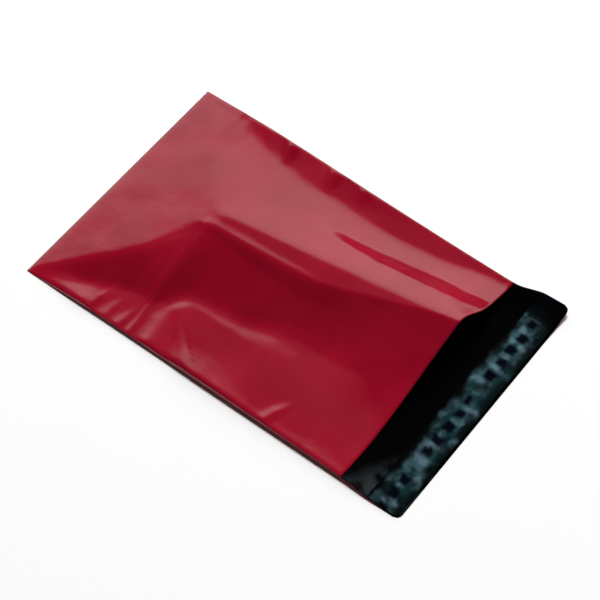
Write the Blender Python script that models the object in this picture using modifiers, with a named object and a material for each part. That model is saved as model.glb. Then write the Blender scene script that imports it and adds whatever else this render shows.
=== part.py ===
"""A polythene mailing bag that lies on its back, empty, a little puffed, with its mouth open.

One web of film is folded across the bottom and welded down both sides. The back panel is longer
than the front panel, and its spare length is the closing flap. The flap carries a strip of glue
on its inner face, under a release liner.

Units are metres. The origin is on the surface that the bag lies on, under the middle of its
outline. +X runs from the bottom fold to the end of the flap, +Y to the far side, +Z up.

Film coordinates: x is the distance from the bottom fold and y the distance from the middle,
both along the flat film.
"""

import math

import bmesh
import bpy

# Sizes of the flat bag
BAG_WIDTH = 0.170
POUCH_DEPTH = 0.230
FLAP_LENGTH = 0.040
FILM_THICKNESS = 0.00006
FLAP_CORNER_RADIUS = 0.004

# Glue and liner on the flap
GLUE_WIDTH = 0.015
GLUE_THICKNESS = 0.00010
GLUE_FROM_FLAP_END = 0.005
GLUE_SIDE_MARGIN = 0.0015
LINER_WIDTH = 0.0205
LINER_THICKNESS = 0.00005
LINER_FROM_FLAP_END = 0.0015
LINER_SIDE_MARGIN = 0.0006
LINER_CORNER_RADIUS = 0.003
SEAT_GAP = 0.0003

# The puffed front panel: a hipped roof with one ridge, from an apex near the fold to the mouth
APEX_FROM_FOLD = 0.068
APEX_OFFSET = 0.0100
APEX_HEIGHT = 0.0130
MOUTH_RIDGE_OFFSET = 0.031
MOUTH_RIDGE_HEIGHT = 0.0200
RIDGE_SOFTNESS = 0.0015

# The far side falls in a plane to a narrow level band along the weld
FAR_BAND_WIDTH = 0.018
FAR_BAND_START = 0.014
FAR_BAND_RUN_IN = 0.068
FAR_BAND_NARROWS = 0.140
FAR_BAND_MOUTH_SHARE = 0.28

# The near side is a dome beside the apex, then a plane that lands early, then a sag at the mouth.
# Each share says how much of the way from the ridge to the weld it takes to land.
DOME_LANDING_SHARE = 0.76
DOME_LANDING_RUN = 0.048
DOME_END_SHARE = 0.93
DOME_END_RUN = 0.014
DOME_POWER = 2.8
DOME_STRAIGHTNESS = 0.27
PLANE_START = 0.074
PLANE_RUN_IN = 0.024
PLANE_SHARE = 0.62
PLANE_SHARE_LATER = 0.50
PLANE_SHARE_RUN = 0.060
PLANE_SOFTNESS = 0.30
SAG_START = 0.130
SAG_RUN = 0.080
SAG_POWER = 2.4

# A second, low crease where the plane lands
CREASE_START_X = 0.088
CREASE_START_Y = -0.050
CREASE_END_Y = -0.048
CREASE_HEIGHT = 0.0014
CREASE_HALF_WIDTH = 0.008
CREASE_RUN_IN = 0.012

# The pouch stays a little open everywhere inside its fold and welds
LEAST_OPENING = 0.0008
OPENING_RUN_IN = 0.004

# The welded sides draw in as the front panel rises, and lift off the surface
NEAR_DRAW_IN = 0.0009
FAR_DRAW_IN = 0.0042
NEAR_CORNER_LIFT = 0.0028
NEAR_CORNER_END = 0.042
NEAR_CORNER_FADE = 0.025
NEAR_EDGE_LIFT = 0.0015
NEAR_EDGE_RUN_IN = 0.045
FAR_EDGE_LIFT = 0.0024
FLAT_HALF_WIDTH = 0.055
EDGE_RUN_IN = 0.060
FLARE_LENGTH = 0.022
FLAP_CORNER_CURL = 0.0040

# Mesh of the film
POUCH_ROWS = 32
FLAP_ROWS = 6
COLUMNS = 32
ROW_CROWDING = 0.4
COLUMN_CROWDING = 0.5
RIDGE_COLUMN = 2
STRIP_ROWS = 4
MERGE_DISTANCE = 1e-6

HALF_WIDTH = BAG_WIDTH / 2
BAG_LENGTH = POUCH_DEPTH + FLAP_LENGTH

RED_FILM = (0.27, 0.004, 0.016, 1)
BLACK_FILM = (0.004, 0.004, 0.004, 1)
GLUE_COLOUR = (0.015, 0.040, 0.045, 1)
LINER_COLOUR = (0.035, 0.120, 0.130, 1)


def share(value, start, run):
    """How far value has come from start over a run, from 0 to 1."""
    return min(max((value - start) / run, 0.0), 1.0)


def ease(t):
    return t * t * (3 - 2 * t)


def blend(a, b, t):
    return a + (b - a) * t


def soft_min(a, b, softness):
    overlap = max(softness - abs(a - b), 0.0) / softness
    return min(a, b) - overlap * overlap * softness / 4


def soft_max(a, b, softness):
    return -soft_min(-a, -b, softness)


def ridge_at(x):
    """Offset and height of the front panel's ridge."""
    along = share(x, APEX_FROM_FOLD, POUCH_DEPTH - APEX_FROM_FOLD)
    offset = blend(APEX_OFFSET, MOUTH_RIDGE_OFFSET, along)
    return offset, blend(APEX_HEIGHT, MOUTH_RIDGE_HEIGHT, along)


def far_slope(x, y, offset):
    """Share of the ridge's height on the far side."""
    band = FAR_BAND_WIDTH * ease(share(x, FAR_BAND_START, FAR_BAND_RUN_IN))
    to_mouth = ease(share(x, FAR_BAND_NARROWS, POUCH_DEPTH - FAR_BAND_NARROWS))
    band *= blend(1, FAR_BAND_MOUTH_SHARE, to_mouth)
    return 1 - share(y, offset, HALF_WIDTH - band - offset)


def near_slope(x, y, offset):
    """Share of the ridge's height on the near side."""
    down = share(-y, -offset, HALF_WIDTH + offset)
    landing = blend(1, DOME_LANDING_SHARE, share(x, 0, DOME_LANDING_RUN))
    landing = blend(landing, DOME_END_SHARE, ease(share(x, DOME_LANDING_RUN, DOME_END_RUN)))
    fallen = min(down / landing, 1.0)
    dome = 1 - blend(fallen ** DOME_POWER, fallen, DOME_STRAIGHTNESS)
    later = share(x, PLANE_START + PLANE_RUN_IN, PLANE_SHARE_RUN)
    plane = soft_max(1 - down / blend(PLANE_SHARE, PLANE_SHARE_LATER, later), 0.0, PLANE_SOFTNESS)
    sag = (1 - down) ** SAG_POWER
    shape = blend(dome, plane, ease(share(x, PLANE_START, PLANE_RUN_IN)))
    return blend(shape, sag, ease(share(x, SAG_START, SAG_RUN)))


def near_crease(x, y):
    along = share(x, CREASE_START_X, POUCH_DEPTH - CREASE_START_X)
    line = blend(CREASE_START_Y, CREASE_END_Y, along)
    across = (y - line) / CREASE_HALF_WIDTH
    rise = ease(share(x, CREASE_START_X - CREASE_RUN_IN, CREASE_RUN_IN))
    return CREASE_HEIGHT * rise * (1 - along) * math.exp(-across * across)


def opening(x, y):
    """Height of the front panel over the back panel."""
    offset, height = ridge_at(x)
    slope = far_slope(x, y, offset) if y > offset else near_slope(x, y, offset)
    end_facet = APEX_HEIGHT * x / APEX_FROM_FOLD
    roof = max(soft_min(end_facet, height * slope, RIDGE_SOFTNESS), 0.0)
    inside = max(min(x, HALF_WIDTH - abs(y)), 0.0)
    least = LEAST_OPENING * (1 - math.exp(-inside / OPENING_RUN_IN))
    return least + roof + near_crease(x, y)


def edge_lift(x, y):
    """Height of the back panel and the flap: flat on the surface, and lifting at both sides."""
    across = share(abs(y), FLAT_HALF_WIDTH, HALF_WIDTH - FLAT_HALF_WIDTH)
    past_mouth = ease(share(x, POUCH_DEPTH, FLAP_LENGTH))
    if y < 0:
        lift = blend(NEAR_CORNER_LIFT, NEAR_EDGE_LIFT, ease(share(x, NEAR_CORNER_END, NEAR_CORNER_FADE)))
        return lift * ease(share(x, 0, NEAR_EDGE_RUN_IN)) * (1 - past_mouth) * across ** 2
    along = ease(share(x, 0, EDGE_RUN_IN))
    return blend(FAR_EDGE_LIFT * along, FLAP_CORNER_CURL, past_mouth) * across ** 2


def drawn_in(x, y):
    """y in space: the sides draw in up to the mouth and flare out again over the flap."""
    along = ease(share(x, 0, POUCH_DEPTH)) if y > 0 else ease(share(x, 0, EDGE_RUN_IN))
    along *= 1 - ease(share(x, POUCH_DEPTH, FLARE_LENGTH))
    most = FAR_DRAW_IN if y > 0 else NEAR_DRAW_IN
    return y * (1 - most * along / HALF_WIDTH)


def rounded_end(y, end, half_width, radius):
    """How far a strip reaches at y, where its last two corners are rounded."""
    past = max(abs(y) - (half_width - radius), 0.0)
    return end - radius + math.sqrt(max(radius * radius - past * past, 0.0))


def in_frame(x, y, height):
    return (x - BAG_LENGTH / 2, drawn_in(x, y), height)


def front_point(x, y):
    """A point of the front panel. The climb from the fold to the ridge pulls the mouth back."""
    run = min(x, APEX_FROM_FOLD)
    climb = opening(run, y)
    pulled_back = climb * climb / (2 * run) if run > 0 else 0.0
    height = edge_lift(x, y) + (opening(x, y) if x > 0 else 0.0)
    return in_frame(x - pulled_back, y, height)


def back_point(x, y):
    return in_frame(x, y, edge_lift(x, y))


def flap_point(along, y):
    """A point of the flap, from the mouth at 0 to its rounded end at 1."""
    reach = rounded_end(y, BAG_LENGTH, HALF_WIDTH, FLAP_CORNER_RADIUS)
    return back_point(blend(POUCH_DEPTH, reach, along), y)


def row_x(t):
    """Rows of the pouch crowd towards the fold."""
    return POUCH_DEPTH * t * (1 - ROW_CROWDING + ROW_CROWDING * t)


def column_y(t, half_width):
    """Columns crowd towards both welds. t runs from -1 to 1."""
    return half_width * ((1 - COLUMN_CROWDING) * t + COLUMN_CROWDING * math.sin(math.pi * t / 2))


def along_ridge(x, y):
    """Moves the columns of the front panel sideways, so that one of them runs along the ridge."""
    column = column_y(2 * RIDGE_COLUMN / COLUMNS, HALF_WIDTH)
    ridge = blend(column, ridge_at(x)[0], share(x, 0, APEX_FROM_FOLD))
    if y > column:
        return HALF_WIDTH - (HALF_WIDTH - y) * (HALF_WIDTH - ridge) / (HALF_WIDTH - column)
    return (y + HALF_WIDTH) * (ridge + HALF_WIDTH) / (column + HALF_WIDTH) - HALF_WIDTH


def web_point(u, v):
    """The folded place of a point of the flat web, with u and v from -0.5 to 0.5."""
    row = (u + 0.5) * (2 * POUCH_ROWS + FLAP_ROWS)
    y = column_y(2 * v, HALF_WIDTH)
    if row <= POUCH_ROWS:
        x = row_x(1 - row / POUCH_ROWS)
        return front_point(x, along_ridge(x, y))
    if row <= 2 * POUCH_ROWS:
        return back_point(row_x(row / POUCH_ROWS - 1), y)
    return flap_point((row - 2 * POUCH_ROWS) / FLAP_ROWS, y)


def material(name, colour, roughness, metallic=0.0):
    made = bpy.data.materials.new(name)
    made.use_nodes = True
    shader = made.node_tree.nodes["Principled BSDF"]
    shader.inputs["Base Color"].default_value = colour
    shader.inputs["Roughness"].default_value = roughness
    shader.inputs["Metallic"].default_value = metallic
    return made


def shaped_grid(name, rows, columns, point_at, collection):
    """A flat grid primitive whose points are moved to their place by point_at."""
    bpy.ops.mesh.primitive_grid_add(x_subdivisions=rows, y_subdivisions=columns, size=1)
    grid = bpy.context.object
    grid.name = name
    grid.data.name = name
    for vertex in grid.data.vertices:
        vertex.co = point_at(vertex.co.x, vertex.co.y)
    for owner in grid.users_collection:
        owner.objects.unlink(grid)
    collection.objects.link(grid)
    grid.data.shade_smooth()
    return grid


def solidify(sheet, thickness, offset, inner_slot=0):
    wall = sheet.modifiers.new("Thickness", "SOLIDIFY")
    wall.thickness = thickness
    wall.offset = offset
    wall.use_even_offset = True
    wall.material_offset = inner_slot


def make_bag(collection):
    bag = shaped_grid("mailer_bag", 2 * POUCH_ROWS + FLAP_ROWS, COLUMNS, web_point, collection)
    side_welds = bmesh.new()
    side_welds.from_mesh(bag.data)
    bmesh.ops.remove_doubles(side_welds, verts=side_welds.verts, dist=MERGE_DISTANCE)
    bmesh.ops.recalc_face_normals(side_welds, faces=side_welds.faces)
    underside = min(side_welds.faces, key=lambda face: face.calc_center_median().z)
    if underside.normal.z > 0:
        bmesh.ops.reverse_faces(side_welds, faces=side_welds.faces)
    side_welds.to_mesh(bag.data)
    side_welds.free()
    bag.data.materials.append(material("red_film", RED_FILM, 0.28))
    bag.data.materials.append(material("black_film", BLACK_FILM, 0.35))
    solidify(bag, FILM_THICKNESS, -1, inner_slot=1)


def make_flap_layer(name, width, from_end, margin, radius, seat, thickness, colour, roughness, collection):
    """A strip across the flap's inner face, lying at the height seat over the flap's outer face."""
    half_width = HALF_WIDTH - margin
    end = BAG_LENGTH - from_end

    def strip_point(u, v):
        y = column_y(2 * v, half_width)
        reach = rounded_end(y, end, half_width, radius) if radius else end
        x, y, height = back_point(blend(end - width, reach, u + 0.5), y)
        return x, y, height + seat

    strip = shaped_grid(name, STRIP_ROWS, COLUMNS, strip_point, collection)
    strip.data.materials.append(material(name, colour, roughness))
    solidify(strip, thickness, 1)


def main():
    for old in list(bpy.data.objects):
        bpy.data.objects.remove(old)
    collection = bpy.data.collections.new("Mailing bag")
    bpy.context.scene.collection.children.link(collection)
    make_bag(collection)
    glue_seat = FILM_THICKNESS + SEAT_GAP
    make_flap_layer(
        "adhesive_strip", GLUE_WIDTH, GLUE_FROM_FLAP_END, GLUE_SIDE_MARGIN, 0,
        glue_seat, GLUE_THICKNESS, GLUE_COLOUR, 0.30, collection,
    )
    make_flap_layer(
        "release_liner", LINER_WIDTH, LINER_FROM_FLAP_END, LINER_SIDE_MARGIN, LINER_CORNER_RADIUS,
        glue_seat + GLUE_THICKNESS + SEAT_GAP, LINER_THICKNESS, LINER_COLOUR, 0.12, collection,
    )


main()
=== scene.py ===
# %% [markdown]
# # A poly mailer bag in Blender
#
# This lesson dresses one part: a light mailing bag of polythene film, empty, lying on its back.
# The film is red outside and black inside. The front panel has puffed up into a low hipped roof,
# the mouth gapes at one end, and the longer back panel ends in a black flap with a strip of
# glue under a blue-green release liner.
#
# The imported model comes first. Every later piece is placed by its numbers, so nothing needs to
# be fitted afterwards.

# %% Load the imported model
import math

import bpy
import numpy as np
from mathutils import Matrix, Vector


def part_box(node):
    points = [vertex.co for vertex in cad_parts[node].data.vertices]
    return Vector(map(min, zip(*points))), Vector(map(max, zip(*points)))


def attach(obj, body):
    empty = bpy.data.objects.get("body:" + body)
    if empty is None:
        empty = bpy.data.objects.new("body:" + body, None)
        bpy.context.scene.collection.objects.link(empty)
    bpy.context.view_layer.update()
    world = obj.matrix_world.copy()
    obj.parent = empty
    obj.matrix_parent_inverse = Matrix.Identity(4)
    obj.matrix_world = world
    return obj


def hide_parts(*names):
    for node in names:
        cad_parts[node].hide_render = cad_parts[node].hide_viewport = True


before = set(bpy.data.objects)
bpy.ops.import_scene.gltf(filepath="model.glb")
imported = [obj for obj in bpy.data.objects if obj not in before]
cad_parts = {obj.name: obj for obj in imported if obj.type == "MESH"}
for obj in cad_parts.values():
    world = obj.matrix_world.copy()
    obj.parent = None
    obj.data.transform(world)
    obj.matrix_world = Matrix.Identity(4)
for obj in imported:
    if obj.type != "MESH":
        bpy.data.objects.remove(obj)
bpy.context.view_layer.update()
bag_low, bag_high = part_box("mailer_bag")
print("nodes:", sorted(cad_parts))
print("bag box in mm:", [round(1000 * v, 1) for v in (*bag_low, *bag_high)])

# %% [markdown]
# ## Sizes of the bag
#
# A mailer is made from one flat web of film, so its sizes are few: the width between the side
# welds, the depth of the pouch and the length of the flap. The width and the overall length are
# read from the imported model. In this lesson x is the distance from the bottom fold and y the
# distance from the middle, both along the flat film.

# %% Sizes of the flat bag
BAG_LENGTH = bag_high[0] - bag_low[0]
HALF_WIDTH = (bag_high[1] - bag_low[1]) / 2
FLAP_LENGTH = 0.040
POUCH_DEPTH = BAG_LENGTH - FLAP_LENGTH
FILM_THICKNESS = 0.00006
FLAP_CORNER_RADIUS = 0.004
print(f"pouch {1000 * POUCH_DEPTH:.0f} x {2000 * HALF_WIDTH:.0f} mm, flap {1000 * FLAP_LENGTH:.0f} mm")

# %% [markdown]
# ## The shape of the puffed panel
#
# Film can't stretch, so when a flat bag opens it makes flat facets that meet in creases. The main
# form here is a hipped roof: one facet rises from the bottom fold, one falls to the far weld, and
# one sags to the near weld. They meet at an apex near the fold, and a ridge runs from there to
# the mouth.
#
# A cloth simulation would find some roof, but not this one. So each facet is a small formula over
# the flat film, on whole arrays of points at a time.

# %% Helpers for formulas on arrays


def share(value, start, run):
    """How far value has come from start over a run, from 0 to 1."""
    return np.clip((value - start) / run, 0, 1)


def ease(t):
    return t * t * (3 - 2 * t)


def blend(a, b, t):
    return a + (b - a) * t


def soft_min(a, b, softness):
    overlap = np.clip(softness - np.abs(a - b), 0, None) / softness
    return np.minimum(a, b) - overlap * overlap * softness / 4


def soft_max(a, b, softness):
    return -soft_min(-a, -b, softness)


def hump(distance, half_width):
    """A smooth ridge profile: 1 on the line and near 0 beyond two half widths."""
    return np.exp(-(distance / half_width) ** 2)


# %% [markdown]
# The ridge is where the far and the near facet meet. It climbs in a straight line from the apex to
# the mouth, and its top is slightly rounded, as film never folds quite sharply under no load.

# %% The ridge
APEX_X = 0.0705
APEX_Y = 0.0100
APEX_HEIGHT = 0.0130
MOUTH_RIDGE_Y = 0.031
MOUTH_RIDGE_HEIGHT = 0.0200
RIDGE_SOFTNESS = 0.0011
RIDGE_ROUNDING = 0.0020
RIDGE_BEND = (0.16, 0.27)
RIDGE_BEND_RUN = 0.110


def ridge_at(x):
    """Offset and height of the roof's ridge."""
    along = share(x, APEX_X, POUCH_DEPTH - APEX_X)
    return blend(APEX_Y, MOUTH_RIDGE_Y, along), blend(APEX_HEIGHT, MOUTH_RIDGE_HEIGHT, along)


def ridge_rounding(x, y, offset):
    """How far the rounded ridge stays below a sharp one. Half the bend says how much it turns."""
    half_bend = blend(RIDGE_BEND[0], RIDGE_BEND[1], share(x, APEX_X, RIDGE_BEND_RUN))
    away = np.abs(y - offset)
    return half_bend * (np.hypot(away, RIDGE_ROUNDING) - away)


print(f"ridge from {1000 * APEX_HEIGHT:.0f} mm high at the apex to {1000 * MOUTH_RIDGE_HEIGHT:.0f} mm")

# %% [markdown]
# The far facet is a plane that ends short of the weld, so a narrow band along the far edge lies
# nearly flat. Towards the mouth one steep strip runs down the middle of the facet, and it shows
# as a streak of pure red between two pale planes.

# %% The far facet
FAR_BAND_STATIONS = (0.029, 0.042, 0.058, 0.092, 0.160, 0.190, 0.210, 0.230)
FAR_BAND_WIDTHS = (0.0, 0.0085, 0.0100, 0.0175, 0.0180, 0.0130, 0.0070, 0.0035)
STREAK_STATIONS = (0.116, 0.145, 0.165, 0.195, 0.230)
STREAK_MIDDLES = (0.0437, 0.0445, 0.0462, 0.0508, 0.0562)
STREAK_HALF_WIDTHS = (0.0025, 0.0044, 0.0050, 0.0056, 0.0050)
STREAK_SLOPE = 0.51
STREAK_BLUR = (-0.0012, 0.0, 0.0012)
STREAK_RUN_IN = 0.025
FAR_FOOT_SOFTNESS = 0.09


def far_slope(x, y, offset, height):
    """Share of the ridge's height on the far side."""
    run = HALF_WIDTH - np.interp(x, FAR_BAND_STATIONS, FAR_BAND_WIDTHS) - offset
    down = np.clip((y - offset) / run, 0, None)
    middle = np.interp(x, STREAK_STATIONS, STREAK_MIDDLES)
    half_width = np.interp(x, STREAK_STATIONS, STREAK_HALF_WIDTHS)
    start = middle - half_width
    drops = [share(y, start + shift, 2 * half_width) for shift in STREAK_BLUR]
    drop = sum(drops) / len(drops)
    steep = (STREAK_SLOPE - height / run) * 2 * half_width / height
    steep = steep * ease(share(x, STREAK_STATIONS[0], STREAK_RUN_IN))
    return soft_max(1 - blend(down, drop, steep), 0, FAR_FOOT_SOFTNESS)


# %% [markdown]
# Right beside the ridge a narrow shelf of film has sunk a little. It is widest in the middle of
# the bag and gone by the mouth.

# %% The sunk shelf beside the ridge
SHELF_WIDTH = (0.0098, 0.0165)
SHELF_RUN_IN = 0.004
SHELF_WIDENS = 0.080
SHELF_FADE_START = 0.135
SHELF_FADE_RUN = 0.100
SHELF_LEAST_WIDTH = 0.001
SHELF_DROP = 0.0009
SHELF_DROP_RUN_IN = 0.014
SHELF_DROP_RUN_OUT = 0.030


def shelf_left(x):
    """1 beside the apex, and 0 where the shelf is gone."""
    return 1 - ease(share(x, SHELF_FADE_START, SHELF_FADE_RUN))


def shelf_width(x):
    width = blend(SHELF_WIDTH[0], SHELF_WIDTH[1], share(x, APEX_X, SHELF_WIDENS))
    return width * share(x, APEX_X - SHELF_RUN_IN, SHELF_RUN_IN) * shelf_left(x)


def shelf_drop(x, y, offset):
    """How far the shelf beside the ridge has sunk, in metres."""
    shown = share(x, APEX_X, SHELF_DROP_RUN_IN) * shelf_left(x)
    width = np.maximum(shelf_width(x), SHELF_LEAST_WIDTH)
    beside = offset - y
    return SHELF_DROP * shown * share(beside, 0, width) * (1 - share(beside, width, SHELF_DROP_RUN_OUT))


# %% [markdown]
# The near side is a dome beside the apex, then a plane that lands early, and by the mouth a long
# concave sag. Three formulas give these shapes, and each fades into the next along the bag. Each
# row of stations is a list of distances from the bottom fold, and the rows under it say how far
# out the film lands there, as a share of the way to the weld, and how round it falls.

# %% The near facet
DOME_STATIONS = (0.000, 0.025, 0.047, 0.060, 0.074, 0.088)
DOME_LANDING = (1.00, 0.885, 0.77, 0.715, 0.67, 0.55)
DOME_POWER = (2.3, 2.9, 3.6, 3.0, 2.8, 2.2)
DOME_STRAIGHTNESS = 0.26
DOME_SOFTNESS = 0.14
PLANE_START = 0.064
PLANE_RUN_IN = 0.030
PLANE_STATIONS = (0.094, 0.110, 0.127, 0.145, 0.165)
PLANE_LANDING = (0.505, 0.475, 0.437, 0.368, 0.375)
PLANE_SOFTNESS = (0.13, 0.13, 0.14, 0.21, 0.28)
SAG_START = 0.150
SAG_RUN = 0.080
SAG_POWER = 2.4


def near_slope(x, y, offset):
    """Share of the ridge's height on the near side: a dome, then a plane, then a sag."""
    shelf = shelf_width(x)
    down = share(-y, shelf - offset, HALF_WIDTH + offset - shelf)
    fallen = down / np.interp(x, DOME_STATIONS, DOME_LANDING)
    dome = 1 - blend(fallen ** np.interp(x, DOME_STATIONS, DOME_POWER), fallen, DOME_STRAIGHTNESS)
    dome = soft_max(dome, 0, DOME_SOFTNESS)
    plane = 1 - down / np.interp(x, PLANE_STATIONS, PLANE_LANDING)
    plane = soft_max(plane, 0, np.interp(x, PLANE_STATIONS, PLANE_SOFTNESS))
    sag = (1 - down) ** SAG_POWER
    shape = blend(dome, plane, ease(share(x, PLANE_START, PLANE_RUN_IN)))
    return blend(shape, sag, ease(share(x, SAG_START, SAG_RUN)))


# %% [markdown]
# ## Creases and puckers
#
# The finer folds are crests along short lines. A crest has a height and two half widths, because
# a buckled film is often gentle on one side and steep on the other. The large crests are listed one
# by one, and the small puckers along the welds, where the hot knife shrank the film, are drawn
# from a seeded random generator.

# %% A crest along a line of points


def crest(x, y, path):
    """Height in mm of a crest. Each point of its path is x, y, height, left and right half width.

    Left and right are as seen when walking along the path.
    """
    best = np.full_like(x, np.inf)
    total = np.zeros_like(x)
    for start, end in zip(path[:-1], path[1:]):
        ux = end[0] - start[0]
        uy = end[1] - start[1]
        along = np.clip(((x - start[0]) * ux + (y - start[1]) * uy) / (ux * ux + uy * uy), 0, 1)
        dx = x - start[0] - along * ux
        dy = y - start[1] - along * uy
        distance = np.hypot(dx, dy)
        height, left, right = (blend(start[i], end[i], along) for i in (2, 3, 4))
        side = np.where(ux * dy - uy * dx > 0, left, right)
        nearer = distance < best
        best = np.where(nearer, distance, best)
        total = np.where(nearer, height * hump(distance, side), total)
    return total


# %% [markdown]
# The large crests follow. The dome ends in a rounded fold, which turns a corner and runs on
# towards the mouth as a soft swell. A second swell lies along the near weld, and a third lines
# the shelf. The rest are short folds that run in from the two welds.

# %% The long crests, in mm
DOME_EDGE = [
    (92, -92, 1.5, 6.5, 9.0),
    (89.5, -80, 1.5, 6.5, 9.0),
    (87, -66, 1.3, 6.5, 9.0),
    (87, -57, 1.1, 5.5, 10.0),
    (89.5, -51, 1.1, 5.2, 12.0),
    (94, -48, 1.3, 5.8, 16.0),
    (102, -47, 1.5, 6.2, 20.0),
    (127, -48, 1.35, 8.7, 18.0),
    (137, -47.5, 1.75, 12.0, 18.0),
    (148, -47, 2.35, 16.0, 19.0),
    (165, -46, 2.2, 18.0, 21.0),
    (190, -45, 0.6, 20.0, 22.0),
    (212, -46, 0.0, 20.0, 22.0),
]
NEAR_SWELL = [
    (84, -84, 0.0, 20.0, 4.0),
    (108, -84, 1.3, 23.0, 4.0),
    (126, -84, 2.6, 23.0, 4.0),
    (140, -84, 2.7, 23.0, 4.0),
    (155, -84, 2.3, 23.0, 4.0),
    (172, -84, 1.6, 22.0, 4.0),
    (228, -84, 1.0, 20.0, 4.0),
]
SHELF_EDGE = [
    (62, -2.6, 0.0, 3.2, 2.8),
    (71, -0.9, 0.65, 4.2, 3.2),
    (85, -0.6, 1.0, 4.6, 3.8),
    (105, -0.6, 1.2, 5.0, 4.2),
    (126, -0.2, 1.1, 5.4, 4.8),
    (151, 1.4, 0.6, 5.4, 5.6),
    (185, 7.0, 0.0, 7.0, 7.0),
]

# %% The short folds by the welds, in mm
DIAGONAL_FOLD = [
    (86, -48, 0.0, 4.6, 4.0),
    (92, -55, 0.8, 5.0, 4.4),
    (101, -66, 1.45, 5.7, 5.0),
    (110, -78, 1.5, 6.1, 5.6),
    (119, -92, 1.5, 6.2, 5.8),
]
GATHERS = [
    [
        (77, -90, 0.75, 2.4, 1.5),
        (75, -72, 0.7, 2.2, 1.4),
        (73, -58, 0.6, 2.0, 1.4),
        (71, -44, 0.0, 1.8, 1.4),
    ],
    [(67, -90, 0.9, 3.0, 1.6), (68, -78, 0.7, 2.6, 1.6), (69, -64, 0.0, 2.0, 1.4)],
    [(46, -90, 0.8, 3.0, 1.8), (47, -74, 0.7, 2.4, 1.6), (50, -62, 0.0, 1.5, 1.5)],
    [(57, -90, 0.6, 3.4, 2.0), (58, -74, 0.5, 3.0, 2.0), (60, -62, 0.0, 2.5, 2.0)],
]
NEAR_FOLD = [(172, -90, 1.0, 4.2, 2.4), (177, -74, 0.95, 3.8, 2.0), (183, -60, 0.0, 2.2, 1.8)]
CORNER_SWELL = [
    (6, -84, 0.0, 8.0, 1.6),
    (20, -84, 1.5, 9.0, 1.6),
    (42, -84, 1.75, 11.0, 1.6),
    (49, -84, 0.0, 8.0, 1.6),
]
FAR_FOLDS = [
    [(31, 90, -0.35, 2.6, 2.6), (33, 80, -0.35, 2.4, 2.4), (34, 68, 0.0, 2.2, 2.2)],
    [(50, 90, 0.6, 3.0, 3.0), (54, 80, 0.5, 3.0, 3.0), (58, 70, 0.0, 2.5, 2.5)],
    [(68, 90, 1.9, 4.0, 3.2), (71, 80, 1.4, 3.8, 3.2), (73, 68, 0.0, 2.5, 2.5)],
    [(101, 90, 1.9, 4.2, 3.2), (104, 80, 1.4, 4.0, 3.2), (106, 67, 0.0, 2.5, 2.5)],
    [(124, 90, 1.5, 4.2, 3.2), (126, 79, 1.1, 4.0, 3.2), (127, 68, 0.0, 2.5, 2.5)],
]
LONG_CRESTS = [DOME_EDGE, NEAR_SWELL, SHELF_EDGE]
CRESTS = [*LONG_CRESTS, DIAGONAL_FOLD, *GATHERS, NEAR_FOLD, CORNER_SWELL, *FAR_FOLDS]
print(len(CRESTS), "crests placed by hand")


def hand_placed_crests(x, y):
    return sum(crest(1000 * x, 1000 * y, path) for path in CRESTS) / 1000


# %% Small puckers along the welds, in mm
PUCKER_SEED = 11
PUCKERS_PER_SIDE = 30
PUCKER_STARTS = (8, 225)
PUCKER_REACHES = (5, 14)
PUCKER_LEANS = (-3, 3)
PUCKER_HEIGHTS = (0.04, 0.20)
PUCKER_WIDTHS = (1.0, 2.0)
FAR_PUCKERING = 2.2


def weld_puckers(x, y):
    draw = np.random.default_rng(PUCKER_SEED)
    total = np.zeros_like(x)
    for side in (-1, 1):
        weld = 1000 * HALF_WIDTH * side
        for _ in range(PUCKERS_PER_SIDE):
            start = draw.uniform(*PUCKER_STARTS)
            reach = draw.uniform(*PUCKER_REACHES)
            lean = draw.uniform(*PUCKER_LEANS)
            height = draw.uniform(*PUCKER_HEIGHTS) * (FAR_PUCKERING if side > 0 else 1)
            width = draw.uniform(*PUCKER_WIDTHS)
            foot = (start, weld, height, width, width)
            tip = (start + lean, weld - side * reach, 0, width, width)
            total += crest(1000 * x, 1000 * y, [foot, tip])
    return total / 1000


# %% The slow waves of slack film
WAVE_SEED = 5
WAVE_COUNT = 9
WAVE_LENGTHS = (0.022, 0.060)
WAVE_HEIGHT = 0.000025


def slack_waves(x, y):
    draw = np.random.default_rng(WAVE_SEED)
    total = np.zeros_like(x)
    for _ in range(WAVE_COUNT):
        turn = draw.uniform(0, math.pi)
        length = draw.uniform(*WAVE_LENGTHS)
        phase = draw.uniform(0, 2 * math.pi)
        total += np.sin((x * math.cos(turn) + y * math.sin(turn)) * 2 * math.pi / length + phase)
    return WAVE_HEIGHT * total


# %% [markdown]
# ## The gap between the panels
#
# The facets, the crests, the puckers and the waves add up to one height of the front panel over
# the back panel. All of it runs out to nothing at the bottom fold and at the welds, where the
# panels are one, and at every other place the panels keep a hair's breadth apart.

# %% The gap between the panels
LEAST_OPENING = 0.0003
OPENING_RUN_IN = 0.0010


def opening(x, y):
    """Height of the front panel over the back panel."""
    offset, height = ridge_at(x)
    slope = np.where(y > offset, far_slope(x, y, offset, height), near_slope(x, y, offset))
    end_facet = APEX_HEIGHT * x / APEX_X
    sides = height * slope - shelf_drop(x, y, offset) - ridge_rounding(x, y, offset)
    roof = np.clip(soft_min(end_facet, sides, RIDGE_SOFTNESS), 0, None)
    inside = np.clip(np.minimum(x, HALF_WIDTH - np.abs(y)), 0, None)
    held = 1 - np.exp(-inside / OPENING_RUN_IN)
    detail = hand_placed_crests(x, y) + weld_puckers(x, y) + slack_waves(x, y)
    least = LEAST_OPENING * held
    return np.maximum(least + roof + detail * held, least * 0.5)


apex_opening = opening(np.array([APEX_X]), np.array([APEX_Y]))[0]
print(f"open by {1000 * apex_opening:.1f} mm at the apex")

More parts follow.
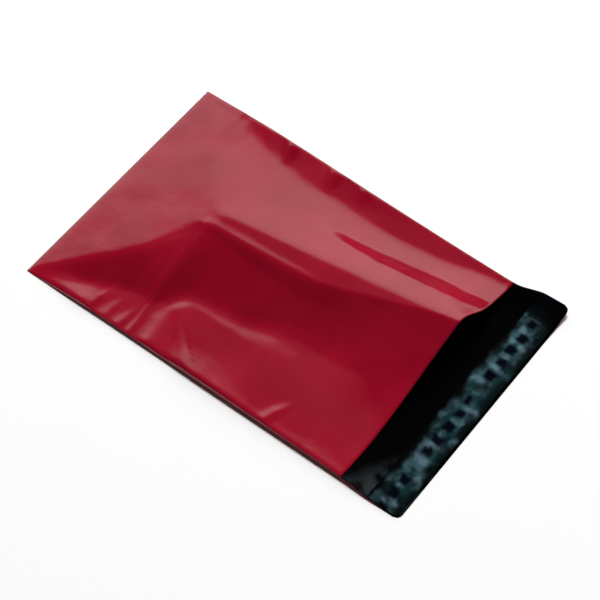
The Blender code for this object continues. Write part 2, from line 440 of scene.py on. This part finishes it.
# %% [markdown]
# ## Where the film lies
#
# The back panel rests on the table, and its sides lift a little where the puffed panel pulls
# them in. Past the mouth the flap flares back to its full width, and its far corner curls up.

# %% How far the back panel and the flap lift
NEAR_EDGE_LIFT = 0.0018
NEAR_ROLL = 0.00095
NEAR_ROLL_WIDTH = 0.0026
NEAR_ROLL_START = 0.100
NEAR_ROLL_RUN_IN = 0.030
FAR_EDGE_LIFT = 0.0024
FLAT_HALF_WIDTH = 0.055
NEAR_EDGE_RUN_IN = 0.045
EDGE_RUN_IN = 0.060
FLAP_CORNER_CURL = 0.0040


def edge_lift(x, y):
    """How far the back panel stands off the table, with a narrow upward roll on the near weld."""
    across = share(np.abs(y), FLAT_HALF_WIDTH, HALF_WIDTH - FLAT_HALF_WIDTH)
    past_mouth = ease(share(x, POUCH_DEPTH, FLAP_LENGTH))
    near = NEAR_EDGE_LIFT * ease(share(x, 0, NEAR_EDGE_RUN_IN)) * (1 - past_mouth)
    far = blend(FAR_EDGE_LIFT * ease(share(x, 0, EDGE_RUN_IN)), FLAP_CORNER_CURL, past_mouth)
    inside = np.clip(HALF_WIDTH + y, 0, None)
    roll = NEAR_ROLL * np.exp(-inside / NEAR_ROLL_WIDTH)
    roll = roll * ease(share(x, NEAR_ROLL_START, NEAR_ROLL_RUN_IN))
    return np.where(y < 0, near, far) * across ** 2 + roll * (1 - past_mouth)


print(f"edges lift by {1000 * NEAR_EDGE_LIFT:.1f} mm near and {1000 * FAR_EDGE_LIFT:.1f} mm far")

# %% How the sides draw in and the mouth slides
NEAR_DRAW_IN = 0.0009
FAR_DRAW_IN = 0.0042
FLARE_LENGTH = 0.022
LIP_FORWARD = 0.0035
LIP_FORWARD_START = 0.036
LIP_FORWARD_WIDTH = 0.016
LIP_FORWARD_RUN_IN = 0.120


def drawn_in(x, y):
    """y in space: the sides draw in up to the mouth and flare out again over the flap."""
    flare = 1 - ease(share(x, POUCH_DEPTH, FLARE_LENGTH))
    near = NEAR_DRAW_IN * ease(share(x, 0, EDGE_RUN_IN))
    far = FAR_DRAW_IN * ease(share(x, 0, POUCH_DEPTH))
    return y * (1 - np.where(y > 0, far, near) * flare / HALF_WIDTH)


def slid_forward(x, y):
    """x in space: the far half of the mouth has slid a little towards the flap."""
    across = ease(share(y, LIP_FORWARD_START, LIP_FORWARD_WIDTH))
    along = ease(share(x, POUCH_DEPTH - LIP_FORWARD_RUN_IN, LIP_FORWARD_RUN_IN))
    return x + LIP_FORWARD * across * along * (1 - ease(share(x, POUCH_DEPTH, FLAP_LENGTH)))


def rounded_end(y, end, half_width, radius):
    """How far a strip reaches at y, where its last two corners are rounded."""
    past = np.clip(np.abs(y) - (half_width - radius), 0, None)
    return end - radius + np.sqrt(np.clip(radius * radius - past * past, 0, None))


# %% [markdown]
# ## Folding the web
#
# The film starts as a flat grid of small squares, as it comes off the roll. Its rows run from the
# front lip of the mouth, over the bottom fold, along the back panel and out to the end of the
# flap. One function gives each point its folded place, and the side points of both panels fall
# together, so merging doubles makes the side welds.

# %% From the flat web to the folded bag
POUCH_ROWS = 134
FLAP_ROWS = 22
COLUMNS = 156
COLUMN_CROWDING = 0.2
LEAST_RUN = 1e-6


def column_y(t, half_width):
    """Columns crowd towards both welds. t runs from -1 to 1."""
    return half_width * ((1 - COLUMN_CROWDING) * t + COLUMN_CROWDING * np.sin(math.pi * t / 2))


def folded_web(u, v):
    """Folded places of points of the flat web, with u and v from -0.5 to 0.5."""
    row = (u + 0.5) * (2 * POUCH_ROWS + FLAP_ROWS)
    y = column_y(2 * v, HALF_WIDTH)
    is_front = row < POUCH_ROWS - 0.5
    is_flap = row > 2 * POUCH_ROWS + 0.5
    reach = rounded_end(y, BAG_LENGTH, HALF_WIDTH, FLAP_CORNER_RADIUS)
    flap_x = blend(POUCH_DEPTH, reach, (row - 2 * POUCH_ROWS) / FLAP_ROWS)
    x = np.where(is_flap, flap_x, POUCH_DEPTH * np.abs(row / POUCH_ROWS - 1))
    run = np.clip(x, LEAST_RUN, APEX_X)
    pulled_back = opening(run, y) ** 2 / (2 * run)
    height = edge_lift(x, y) + np.where(is_front, opening(x, y), 0)
    place = slid_forward(x, y) - np.where(is_front, pulled_back, 0)
    return np.stack([place - BAG_LENGTH / 2, drawn_in(x, y), height], axis=-1)


# %% Helpers for shaped grids and walls


def deselect_all():
    if bpy.context.mode != "OBJECT":
        bpy.ops.object.mode_set(mode="OBJECT")
    bpy.ops.object.select_all(action="DESELECT")


def shaped_grid(name, rows, columns, place_points):
    """A flat grid primitive whose points are moved to their places all at once."""
    deselect_all()
    bpy.ops.mesh.primitive_grid_add(x_subdivisions=rows, y_subdivisions=columns, size=1)
    grid = bpy.context.object
    grid.name = name
    flat = np.empty(3 * len(grid.data.vertices))
    grid.data.vertices.foreach_get("co", flat)
    flat = flat.reshape(-1, 3)
    grid.data.vertices.foreach_set("co", place_points(flat[:, 0], flat[:, 1]).ravel())
    grid.data.update()
    return grid


def apply_thickness(piece, thickness, offset, inner_slot):
    wall = piece.modifiers.new("Thickness", "SOLIDIFY")
    wall.thickness = thickness
    wall.offset = offset
    wall.use_even_offset = True
    wall.material_offset = inner_slot
    bpy.context.view_layer.objects.active = piece
    bpy.ops.object.modifier_apply(modifier=wall.name)


# %% [markdown]
# Folding turns the web's faces, so the normals are made to agree once the side welds are merged.
# Then the lowest face, which lies on the table, says whether they all point outwards.

# %% Fold the web and merge the side welds
MERGE_DISTANCE = 0.00002

film = shaped_grid("bag_film", 2 * POUCH_ROWS + FLAP_ROWS, COLUMNS, folded_web)
bpy.ops.object.mode_set(mode="EDIT")
bpy.ops.mesh.select_all(action="SELECT")
bpy.ops.mesh.remove_doubles(threshold=MERGE_DISTANCE)
bpy.ops.mesh.normals_make_consistent(inside=False)
bpy.ops.object.mode_set(mode="OBJECT")
lowest = min(film.data.polygons, key=lambda face: face.center.z)
if lowest.normal.z > 0:
    bpy.ops.object.mode_set(mode="EDIT")
    bpy.ops.mesh.flip_normals()
    bpy.ops.object.mode_set(mode="OBJECT")
print("film:", len(film.data.polygons), "cells")

# %% [markdown]
# ## Reading shader sums as Python
#
# A material is a tree of nodes. Written out node by node it is hard to read, so one small class
# wraps a socket and lets it take part in sums. `1 - spots * 0.5` then adds its own Math nodes.
# Every other kind of node comes from one method.

# %% A socket that can be used in sums


class Term:
    """An output socket of a recipe. Sums on it add Math nodes."""

    def __init__(self, recipe, socket):
        self.recipe = recipe
        self.socket = socket

    def maths(self, operation, *terms):
        return self.recipe.add("ShaderNodeMath", {"operation": operation}, dict(enumerate(terms)))

    def __add__(self, other):
        return self.maths("ADD", self, other)

    def __sub__(self, other):
        return self.maths("SUBTRACT", self, other)

    def __rsub__(self, other):
        return self.maths("SUBTRACT", other, self)

    def __mul__(self, other):
        return self.maths("MULTIPLY", self, other)

    __radd__ = __add__
    __rmul__ = __mul__

    def smooth_between(self, low, high):
        """0 below low, 1 above high, and smooth in between. low may be the larger."""
        settings = {"interpolation_type": "SMOOTHSTEP"}
        inputs = {0: self, 1: low, 2: high, 3: 0.0, 4: 1.0}
        return self.recipe.add("ShaderNodeMapRange", settings, inputs)

    def size(self):
        return self.maths("ABSOLUTE", self)


# %% A recipe for one material


class Recipe:
    """One material, built from a Principled shader."""

    def __init__(self, name, **constants):
        self.material = bpy.data.materials.new(name)
        self.material.use_nodes = True
        self.tree = self.material.node_tree
        self.shader = self.tree.nodes["Principled BSDF"]
        for socket, value in constants.items():
            self.shader.inputs[socket.replace("_", " ")].default_value = value

    def add(self, kind, settings=None, inputs=None, output=0):
        node = self.tree.nodes.new(kind)
        for key, value in (settings or {}).items():
            setattr(node, key, value)
        for key, value in (inputs or {}).items():
            self.connect(node.inputs[key], value)
        return Term(self, node.outputs[output])

    def connect(self, socket, value):
        if isinstance(value, Term):
            self.tree.links.new(value.socket, socket)
        else:
            socket.default_value = value

    def feed(self, socket, value):
        self.connect(self.shader.inputs[socket], value)

    def mix(self, factor, first, second):
        inputs = {0: factor, 6: first, 7: second}
        return self.add("ShaderNodeMix", {"data_type": "RGBA"}, inputs, output=2)

    def noise(self, where, scale, detail=3.0):
        """Cloudy noise. Its scale is in clouds a metre."""
        inputs = {"Vector": where, "Scale": scale, "Detail": detail}
        return self.add("ShaderNodeTexNoise", {}, inputs)

    def split(self, vector):
        node = self.tree.nodes.new("ShaderNodeSeparateXYZ")
        self.connect(node.inputs[0], vector)
        return [Term(self, output) for output in node.outputs]

    def stretched(self, where, scale):
        inputs = {"Vector": where, "Scale": scale}
        return self.add("ShaderNodeMapping", {}, inputs)

    def object_place(self):
        return self.add("ShaderNodeTexCoord", output="Object")

    def bump(self, height, distance):
        inputs = {"Height": height, "Distance": distance, "Strength": 1.0}
        self.feed("Normal", self.add("ShaderNodeBump", {}, inputs))


# %% [markdown]
# ## Red film and black film
#
# Co-extruded mailer film is two layers in one sheet: glossy red outside, black inside to hide the
# contents. The red is nearly even in colour. What gives it life is its gloss, a little uneven
# where the film has been handled, and fine die lines that run along the web.

# %% The red outside
RED = (0.275, 0.0024, 0.0155, 1)
RED_THIN = (0.325, 0.0042, 0.0200, 1)
RED_ROUGHNESS = 0.080
HANDLED_ROUGHNESS = 0.07
DIE_LINE_STRETCH = (30.0, 500.0, 500.0)
FILM_BUMP = 0.00002


def red_film():
    recipe = Recipe("red_film", Specular_IOR_Level=0.5)
    place = recipe.object_place()
    cloud = recipe.noise(place, 28.0, 2.0)
    recipe.feed("Base Color", recipe.mix(cloud.smooth_between(0.35, 0.7), RED, RED_THIN))
    handled = recipe.noise(place, 60.0, 3.0)
    recipe.feed("Roughness", handled * HANDLED_ROUGHNESS + RED_ROUGHNESS)
    die_lines = recipe.noise(recipe.stretched(place, DIE_LINE_STRETCH), 1.0, 2.0)
    orange_peel = recipe.noise(place, 260.0, 2.0)
    crinkle = recipe.noise(place, 75.0, 3.0)
    recipe.bump(die_lines * 0.5 + orange_peel + crinkle * 10.0, FILM_BUMP)
    return recipe.material


# %% [markdown]
# The black side is duller. Its near corner on the flap catches a faint green and grey glare, so a
# patch of cloudy colour is painted over the black there and nowhere else, as a painted reflection.

# %% The black inside
BLACK = (0.0006, 0.0005, 0.0006, 1)
BLACK_DEEP = (0.0003, 0.0003, 0.0004, 1)
# Colours of the painted glare, a painted reflection, on the flap's near corner.
GLARE_GREEN = (0.0040, 0.0300, 0.0240, 1)
GLARE_GREY = (0.0420, 0.0280, 0.0400, 1)
GLARE_START_X = (0.133, 0.150)
GLARE_START_Y = (-0.044, -0.066)
BLACK_STRETCH = (40.0, 500.0, 500.0)
BLACK_ROUGHNESS = 0.24


def black_film():
    recipe = Recipe("black_film", Specular_IOR_Level=0.05)
    place = recipe.object_place()
    x, y, z = recipe.split(place)
    # Painted glare on the flap's near corner: a painted reflection laid into the base colour.
    corner = (x - y * 0.5).smooth_between(*GLARE_START_X) * y.smooth_between(*GLARE_START_Y)
    glare_patches = recipe.noise(place, 110.0, 2.0).smooth_between(0.32, 0.62) * corner
    plain = recipe.mix(recipe.noise(place, 30.0), BLACK, BLACK_DEEP)
    glare_colours = recipe.mix(recipe.noise(place, 75.0, 1.0), GLARE_GREEN, GLARE_GREY)
    recipe.feed("Base Color", recipe.mix(glare_patches, plain, glare_colours))
    recipe.feed("Roughness", recipe.noise(place, 90.0) * 0.10 + BLACK_ROUGHNESS)
    recipe.bump(recipe.noise(recipe.stretched(place, BLACK_STRETCH), 1.0, 2.0), FILM_BUMP)
    return recipe.material


# %% [markdown]
# The folded web gets its thickness last, by Solidify. It grows inwards from the red skin, and the
# material offset gives the new inner skin the black film. The bag is one sheet of film.

# %% Thickness and finish of the bag's film
film.data.materials.append(red_film())
film.data.materials.append(black_film())
apply_thickness(film, FILM_THICKNESS, -1, 1)
bpy.ops.object.shade_smooth()
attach(film, "root")
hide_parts("mailer_bag")
print("film triangles:", sum(len(face.vertices) - 2 for face in film.data.polygons))

# %% [markdown]
# ## Glue and liner on the flap
#
# The glue is a bead of hot-melt spread into a strip, so it is a little lumpy, and the clear
# liner on top follows the lumps, which gives it some real glints; more sheen and glints are painted
# into its colour. Both strips take their place and their width from the imported model, and they
# follow the flap wherever it lifts or curls.

# %% The lumps of the glue
LUMP_SEED = 23
LUMP_COUNT = 60
LUMP_LINE = BAG_LENGTH - 0.0125
LUMP_SPREAD = 0.007
LUMP_RADII = (0.0018, 0.0042)
LUMP_SIZES = (0.3, 1.0)
HIGHEST_LUMP = 1.2
LUMP_HEIGHT = 0.00022


def glue_lumps(x, y):
    """Lumps of hot-melt under the liner, from 0 to about 1."""
    draw = np.random.default_rng(LUMP_SEED)
    total = np.zeros_like(x)
    for _ in range(LUMP_COUNT):
        lump_x = LUMP_LINE + draw.uniform(-LUMP_SPREAD, LUMP_SPREAD)
        lump_y = draw.uniform(-HALF_WIDTH, HALF_WIDTH)
        radius = draw.uniform(*LUMP_RADII)
        height = draw.uniform(*LUMP_SIZES)
        total += height * hump(np.hypot(x - lump_x, y - lump_y), radius)
    return np.minimum(total, HIGHEST_LUMP)


# %% Strips that lie on the flap
STRIP_ROWS = 26
STRIP_COLUMNS = 220
SHARPEST_BEND = 40


def strip_on_flap(name, node, radius, thickness):
    """A strip in the place of its CAD node, on the flap, with the lumps of the glue under it."""
    low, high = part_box(node)
    start = low[0] + BAG_LENGTH / 2
    end = high[0] + BAG_LENGTH / 2
    half_width = (high[1] - low[1]) / 2
    seat = low[2]

    def place_points(u, v):
        y = column_y(2 * v, half_width)
        reach = rounded_end(y, end, half_width, radius) if radius else end
        x = blend(start, reach, u + 0.5)
        height = edge_lift(x, y) + seat + LUMP_HEIGHT * glue_lumps(x, y)
        return np.stack([slid_forward(x, y) - BAG_LENGTH / 2, drawn_in(x, y), height], axis=-1)

    strip = shaped_grid(name, STRIP_ROWS, STRIP_COLUMNS, place_points)
    apply_thickness(strip, thickness, 1, 0)
    bpy.ops.object.shade_smooth_by_angle(angle=math.radians(SHARPEST_BEND))
    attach(strip, "root")
    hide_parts(node)
    return strip


# %% The glue strip and its liner
GLUE_THICKNESS = 0.00010
LINER_THICKNESS = 0.00005
LINER_CORNER_RADIUS = 0.003

glue = strip_on_flap("glue_strip", "adhesive_strip", 0, GLUE_THICKNESS)
liner = strip_on_flap("liner_film", "release_liner", LINER_CORNER_RADIUS, LINER_THICKNESS)
print("strips:", len(glue.data.polygons), "and", len(liner.data.polygons), "faces")

# %% [markdown]
# The liner is clear film with a dark blue-green tint over the glue band, black where it hangs
# free. Its teal sheen and milky glints are painted into its colour in patches over the band, as
# painted reflections, and they and the tint fade out towards the far corner, where the curled flap
# catches no sheen. The dark spots are a row at an even pitch. A Wrap node folds the distance along
# the row into one pitch, so one soft square makes them all, and noise on its two distances keeps
# the row from looking ruled.

# %% The glue's and the liner's colours
GLUE_COLOUR = (0.004, 0.014, 0.017, 1)
LINER_CLEAR = (0.0005, 0.0005, 0.0006, 1)
LINER_DARK = (0.0012, 0.0036, 0.0044, 1)
# The teal colour is the liner's tint with painted sheen, and the milky colour below it is painted glints.
LINER_TEAL_SHEEN = (0.0060, 0.0300, 0.0300, 1)
LINER_GLINT = (0.105, 0.190, 0.235, 1)
SPOT_COLOUR = (0.0004, 0.0014, 0.0048, 1)
SPOT_PITCH = 0.0105
SPOT_HALF_LENGTH = 0.0030
SPOT_HALF_WIDTH = 0.0032
SPOT_BLUR = 0.0014
SPOT_LINE = BAG_LENGTH / 2 - 0.0118
BAND_HALF_WIDTH = 0.0068
BAND_BLUR = 0.0030
BAND_DRIFT = 0.012
# Where the band and the tinted ground fade out towards the far corner: painted shade for the curled flap,
# which catches no sheen.
BAND_END = (0.076, 0.060)
GROUND_START = (-0.009, -0.002)
GROUND_END = (0.076, 0.058)
SPOT_DRIFT = 0.005


# %% The glue's finish


def glue_finish():
    recipe = Recipe("glue", Roughness=0.35, Specular_IOR_Level=0.2)
    place = recipe.object_place()
    recipe.feed("Base Color", recipe.mix(recipe.noise(place, 300.0), GLUE_COLOUR, LINER_DARK))
    recipe.bump(recipe.noise(place, 400.0), 0.00003)
    return recipe.material


# %% The liner's finish


def soft_inside(distance, half_width, blur):
    """1 within half a width of a line and 0 beyond it, with a blurred edge."""
    return distance.size().smooth_between(half_width + blur, half_width - blur)


def liner_finish():
    """Clear film with painted teal sheen and painted milky glints over the glue, and a row of soft dark
    spots.
    """
    recipe = Recipe("liner", Specular_IOR_Level=0.06)
    place = recipe.object_place()
    x, y, z = recipe.split(place)
    from_line = x - SPOT_LINE

    # The band where the painted sheen shows, fading out towards the far corner.
    drift = from_line + recipe.noise(place, 90.0, 2.0) * BAND_DRIFT - BAND_DRIFT / 2
    band = soft_inside(drift, BAND_HALF_WIDTH, BAND_BLUR) * y.smooth_between(*BAND_END)

    row = y + recipe.noise(place, 90.0, 1.0) * SPOT_DRIFT - SPOT_DRIFT / 2
    line = from_line + recipe.noise(place, 120.0, 1.0) * SPOT_DRIFT - SPOT_DRIFT / 2
    turn = row.maths("WRAP", row, SPOT_PITCH / 2, -SPOT_PITCH / 2)
    across = soft_inside(line, SPOT_HALF_WIDTH, SPOT_BLUR)
    along = soft_inside(turn, SPOT_HALF_LENGTH, SPOT_BLUR)
    kept = recipe.noise(place, 50.0, 0.0).smooth_between(0.28, 0.42)
    spots = across * along * kept

    # Painted teal sheen and painted milky glints over the band. The glints are weaker on the spots.
    teal_sheen = recipe.noise(place, 70.0, 1.0).smooth_between(0.25, 0.70) * band
    between = turn.size().smooth_between(0.0015, SPOT_PITCH / 2) * 0.6 + 0.4
    clouds = recipe.noise(recipe.stretched(place, (120.0, 90.0, 0.0)), 1.0, 2.0)
    painted_glints = clouds.smooth_between(0.36, 0.72) * band * between
    # The liner's dark tint, fading out towards the far corner along with the painted sheen.
    ground_share = from_line.smooth_between(*GROUND_START) * y.smooth_between(*GROUND_END)
    ground = recipe.mix(ground_share, LINER_CLEAR, LINER_DARK)
    tint_and_sheen = recipe.mix(painted_glints, recipe.mix(teal_sheen, ground, LINER_TEAL_SHEEN), LINER_GLINT)

    recipe.feed("Base Color", recipe.mix(spots, tint_and_sheen, SPOT_COLOUR))
    recipe.feed("Roughness", 0.42 - teal_sheen * 0.2)
    recipe.bump(recipe.noise(place, 220.0, 2.0) * band, 0.00010)
    return recipe.material


# %% Finish on both strips
glue.data.materials.append(glue_finish())
liner.data.materials.append(liner_finish())
print("materials:", [material.name for piece in (film, glue, liner) for material in piece.data.materials])

# %% [markdown]
# ## Table, camera and light
#
# The bag lies on a plain pale table. A plane is enough for it, and it sits a hair below the film,
# so that the two surfaces don't flicker into each other.

# %% The table
TABLE_SIZE = 6.0
TABLE_DROP = 0.0002
TABLE_PALE = (0.97, 0.97, 0.97, 1)
TABLE_PALEST = (0.985, 0.985, 0.985, 1)


def table_finish():
    recipe = Recipe("table", Roughness=0.9, Specular_IOR_Level=0.1)
    place = recipe.object_place()
    cloud = recipe.noise(place, 3.0)
    recipe.feed("Base Color", recipe.mix(cloud, TABLE_PALE, TABLE_PALEST))
    return recipe.material


deselect_all()
bpy.ops.mesh.primitive_plane_add(size=TABLE_SIZE, location=(0, 0, -TABLE_DROP))
table = bpy.context.object
table.name = "table"
bpy.ops.object.transform_apply(location=True, rotation=True, scale=True)
table.data.materials.append(table_finish())

# %% [markdown]
# The camera looks down from the near right. Its place is given as two angles and a distance, and
# its axes are worked out from them, so it needs no constraint and no target.

# %% The camera, where the photograph was taken from
CAMERA_AZIMUTH = 37.4
CAMERA_ELEVATION = 56.93
CAMERA_DISTANCE = 1.190
CAMERA_RIGHT = 0.0020
CAMERA_UP = -0.0052
FOCAL_PIXELS = 2033
PICTURE_PIXELS = 600
SENSOR_MM = 36


def direction(azimuth, elevation):
    """Unit vector from the bag towards a place seen at this azimuth and elevation, in degrees."""
    a = math.radians(azimuth)
    e = math.radians(elevation)
    return Vector((math.sin(a) * math.cos(e), -math.cos(a) * math.cos(e), math.sin(e)))


back = direction(CAMERA_AZIMUTH, CAMERA_ELEVATION)
right = Vector((0, 0, 1)).cross(back).normalized()
up = back.cross(right)
deselect_all()
bpy.ops.object.camera_add()
camera = bpy.context.object
camera.data.sensor_width = SENSOR_MM
camera.data.lens = FOCAL_PIXELS / PICTURE_PIXELS * SENSOR_MM
turn = Matrix((right, up, back)).transposed().to_4x4()
eye = back * CAMERA_DISTANCE + right * CAMERA_RIGHT + up * CAMERA_UP
camera.matrix_world = Matrix.Translation(eye) @ turn
bpy.context.scene.camera = camera
print(f"lens {camera.data.lens:.0f} mm, {CAMERA_DISTANCE:.2f} m away")

# %% [markdown]
# The light comes from behind, over the far left corner. A large softbox there is mirrored by
# every facet that tips away from the camera, which gives the film its pale pink planes. The level
# facets mirror the dim room above it and stay deep red.
#
# A real softbox is brightest in its middle and fades towards its edges. An area lamp is even, so
# the softbox is stacked from strips of different strength. A soft sun that the film doesn't mirror
# lights the table and the colours.

# %% A lamp that faces the bag


def turned_to(toward):
    """The turn that points a lamp's light from this direction at the bag."""
    return toward.to_track_quat("Z", "Y").to_matrix().to_4x4()


def lamp(name, azimuth, elevation, distance, width, height, power):
    """A rectangular lamp that faces the bag."""
    toward = direction(azimuth, elevation)
    deselect_all()
    bpy.ops.object.light_add(type="AREA")
    box = bpy.context.object
    box.name = name
    box.data.shape = "RECTANGLE"
    box.data.size = width
    box.data.size_y = height
    box.data.energy = power
    box.matrix_world = Matrix.Translation(toward * distance) @ turned_to(toward)
    return box


# %% The softbox, as strips of lowest and highest elevation and strength
SOFTBOX_AZIMUTH = 203
SOFTBOX_DISTANCE = 1.3
SOFTBOX_WIDTH = 2.3
SOFTBOX_STRIPS = [
    (9, 12, 2.0),
    (12, 38, 4.95),
    (38, 42, 4.2),
    (42, 46, 3.0),
    (46, 51, 1.15),
    (51, 58, 0.05),
    (58, 72, 0.06),
]
for low, high, watts_per_area in SOFTBOX_STRIPS:
    strip_height = 2 * SOFTBOX_DISTANCE * math.tan(math.radians(high - low) / 2)
    power = watts_per_area * SOFTBOX_WIDTH * strip_height
    middle = (low + high) / 2
    lamp(f"softbox_{low}", SOFTBOX_AZIMUTH, middle, SOFTBOX_DISTANCE, SOFTBOX_WIDTH, strip_height, power)
print(len(SOFTBOX_STRIPS), "strips make the softbox")

# %% The key light and the room
KEY_AZIMUTH = CAMERA_AZIMUTH + 180
KEY_ELEVATION = 58
KEY_STRENGTH = 3.12
KEY_SOFTNESS = 24
ROOM_STRENGTH = 0.02
deselect_all()
bpy.ops.object.light_add(type="SUN")
key = bpy.context.object
key.name = "key"
key.data.energy = KEY_STRENGTH
key.data.angle = math.radians(KEY_SOFTNESS)
key.visible_glossy = False
key.matrix_world = turned_to(direction(KEY_AZIMUTH, KEY_ELEVATION))

world = bpy.data.worlds.new("room")
world.use_nodes = True
room_light = world.node_tree.nodes["Background"].inputs
room_light["Color"].default_value = (1, 1, 1, 1)
room_light["Strength"].default_value = ROOM_STRENGTH
bpy.context.scene.world = world
bpy.context.scene.view_settings.view_transform = "Standard"

# %% [markdown]
# ## Finish
#
# The dressed bag must keep the size of the imported model.

# %% Leave nothing selected
deselect_all()
